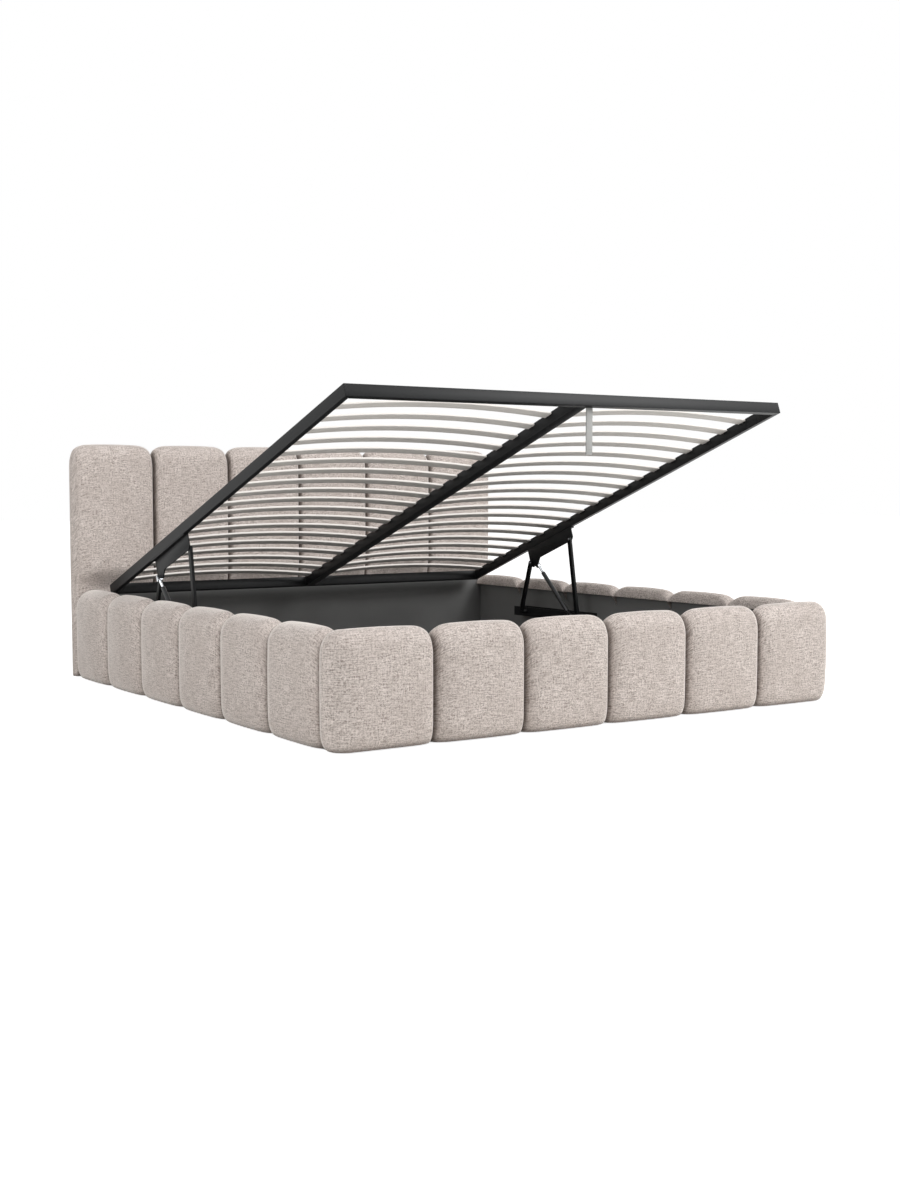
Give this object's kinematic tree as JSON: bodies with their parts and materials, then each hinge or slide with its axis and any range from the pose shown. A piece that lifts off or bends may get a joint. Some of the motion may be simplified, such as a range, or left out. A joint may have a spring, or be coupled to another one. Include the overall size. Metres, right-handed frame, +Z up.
{
  "type": "upholstered storage bed",
  "caption": "Upholstered double bed with channelled headboard, padded box and a slatted frame that lifts on gas struts over a storage space.",
  "frame": {"origin": "on the floor, at the centre of the bed's outline seen from above", "axes": "+X to the right seen from the foot end, +Y towards the headboard, +Z up"},
  "size_m": [2.0406, 2.1888, 1.064],
  "materials": {
    "oatmeal_weave": "heathered woven upholstery fabric over foam",
    "charcoal_liner": "board covered in charcoal lining",
    "black_steel": "satin black powder coat",
    "slatted_rail": "pale grey laminated slats on a satin black rail",
    "gas_spring_black": "gloss black enamel",
    "bright_rod": "ground and plated",
    "grey_webbing": "woven tape",
    "black_plastic": "moulded, matt",
    "pine_batten": "planed pine"
  },
  "bodies": {
    "bed_box": {"headboard_pad_1": "oatmeal_weave", "headboard_pad_2": "oatmeal_weave", "headboard_pad_3": "oatmeal_weave", "headboard_pad_4": "oatmeal_weave", "headboard_pad_5": "oatmeal_weave", "headboard_pad_6": "oatmeal_weave", "foot_pad_1": "oatmeal_weave", "foot_pad_2": "oatmeal_weave", "foot_pad_3": "oatmeal_weave", "foot_pad_4": "oatmeal_weave", "foot_pad_5": "oatmeal_weave", "foot_pad_6": "oatmeal_weave", "side_pad_left_1": "oatmeal_weave", "side_pad_left_2": "oatmeal_weave", "side_pad_left_3": "oatmeal_weave", "side_pad_left_4": "oatmeal_weave", "side_pad_left_5": "oatmeal_weave", "side_pad_left_6": "oatmeal_weave", "side_pad_right_1": "oatmeal_weave", "side_pad_right_2": "oatmeal_weave", "side_pad_right_3": "oatmeal_weave", "side_pad_right_4": "oatmeal_weave", "side_pad_right_5": "oatmeal_weave", "side_pad_right_6": "oatmeal_weave", "headboard_panel": "oatmeal_weave", "side_board_left": "charcoal_liner", "side_board_right": "charcoal_liner", "foot_board": "charcoal_liner", "head_board": "charcoal_liner", "floor_panel_left": "charcoal_liner", "floor_panel_right": "charcoal_liner", "floor_beam": "pine_batten", "foot_cleat": "pine_batten", "glide_foot_left": "black_plastic", "glide_foot_right": "black_plastic", "glide_middle_left": "black_plastic", "glide_middle_right": "black_plastic", "glide_head_left": "black_plastic", "glide_head_right": "black_plastic", "glide_headboard_left": "black_plastic", "glide_headboard_right": "black_plastic", "base_plate_left": "black_steel", "base_plate_right": "black_steel"},
    "lift_frame": {"foot_rail": "black_steel", "head_rail": "black_steel", "centre_rail": "black_steel", "side_rail_left": "slatted_rail", "side_rail_right": "slatted_rail", "upper_bracket_left": "black_steel", "upper_bracket_right": "black_steel", "pull_strap": "grey_webbing"},
    "front_link_left": {"front_link_left": "black_steel"},
    "rear_link_left": {"rear_link_left": "black_steel"},
    "strut_rod_left": {"strut_rod_left": "bright_rod"},
    "strut_cylinder_left": {"strut_cylinder_left": "gas_spring_black"},
    "front_link_right": {"front_link_right": "black_steel"},
    "rear_link_right": {"rear_link_right": "black_steel"},
    "strut_rod_right": {"strut_rod_right": "bright_rod"},
    "strut_cylinder_right": {"strut_cylinder_right": "gas_spring_black"}
  },
  "joints": [
    {"name": "frame_lift", "type": "hinge", "parent": "bed_box", "child": "lift_frame", "pos_m": [0, 1.1318, 0.45127], "axis": [1, 0, 0], "range_deg": [0, 20.2], "stiffness_Nm_per_rad": 75, "springref_deg": -171.89},
    {"name": "front_link_pivot_left", "type": "hinge", "parent": "bed_box", "child": "front_link_left", "pos_m": [-0.8645, 0.15785, 0.222], "axis": [1, 0, 0], "range_deg": [0, 99.6]},
    {"name": "rear_link_pivot_left", "type": "hinge", "parent": "bed_box", "child": "rear_link_left", "pos_m": [-0.8645, 0.54785, 0.214], "axis": [1, 0, 0], "range_deg": [0, 73]},
    {"name": "strut_pivot_left", "type": "hinge", "parent": "bed_box", "child": "strut_cylinder_left", "pos_m": [-0.8835, 0.22885, 0.218], "axis": [1, 0, 0], "range_deg": [-47.4, 0]},
    {"name": "strut_slide_left", "type": "slide", "parent": "strut_cylinder_left", "child": "strut_rod_left", "axis": [0, 0.7358, 0.6772], "range_m": [-0.0306, 0]},
    {"name": "front_link_pivot_right", "type": "hinge", "parent": "bed_box", "child": "front_link_right", "pos_m": [0.8645, 0.15785, 0.222], "axis": [1, 0, 0], "range_deg": [0, 99.6]},
    {"name": "rear_link_pivot_right", "type": "hinge", "parent": "bed_box", "child": "rear_link_right", "pos_m": [0.8645, 0.54785, 0.214], "axis": [1, 0, 0], "range_deg": [0, 73]},
    {"name": "strut_pivot_right", "type": "hinge", "parent": "bed_box", "child": "strut_cylinder_right", "pos_m": [0.8835, 0.22885, 0.218], "axis": [1, 0, 0], "range_deg": [-47.4, 0]},
    {"name": "strut_slide_right", "type": "slide", "parent": "strut_cylinder_right", "child": "strut_rod_right", "axis": [0, 0.7358, 0.6772], "range_m": [-0.0306, 0]}
  ],
  "couplings": [
    {"joint": "front_link_pivot_left", "follows": "frame_lift", "ratio": 4.9278},
    {"joint": "rear_link_pivot_left", "follows": "frame_lift", "ratio": 3.6096},
    {"joint": "strut_pivot_left", "follows": "frame_lift", "ratio": -2.3449},
    {"joint": "strut_slide_left", "follows": "frame_lift", "m_per_rad": -0.086653},
    {"joint": "front_link_pivot_right", "follows": "frame_lift", "ratio": 4.9278},
    {"joint": "rear_link_pivot_right", "follows": "frame_lift", "ratio": 3.6096},
    {"joint": "strut_pivot_right", "follows": "frame_lift", "ratio": -2.3449},
    {"joint": "strut_slide_right", "follows": "frame_lift", "m_per_rad": -0.086653}
  ]
}
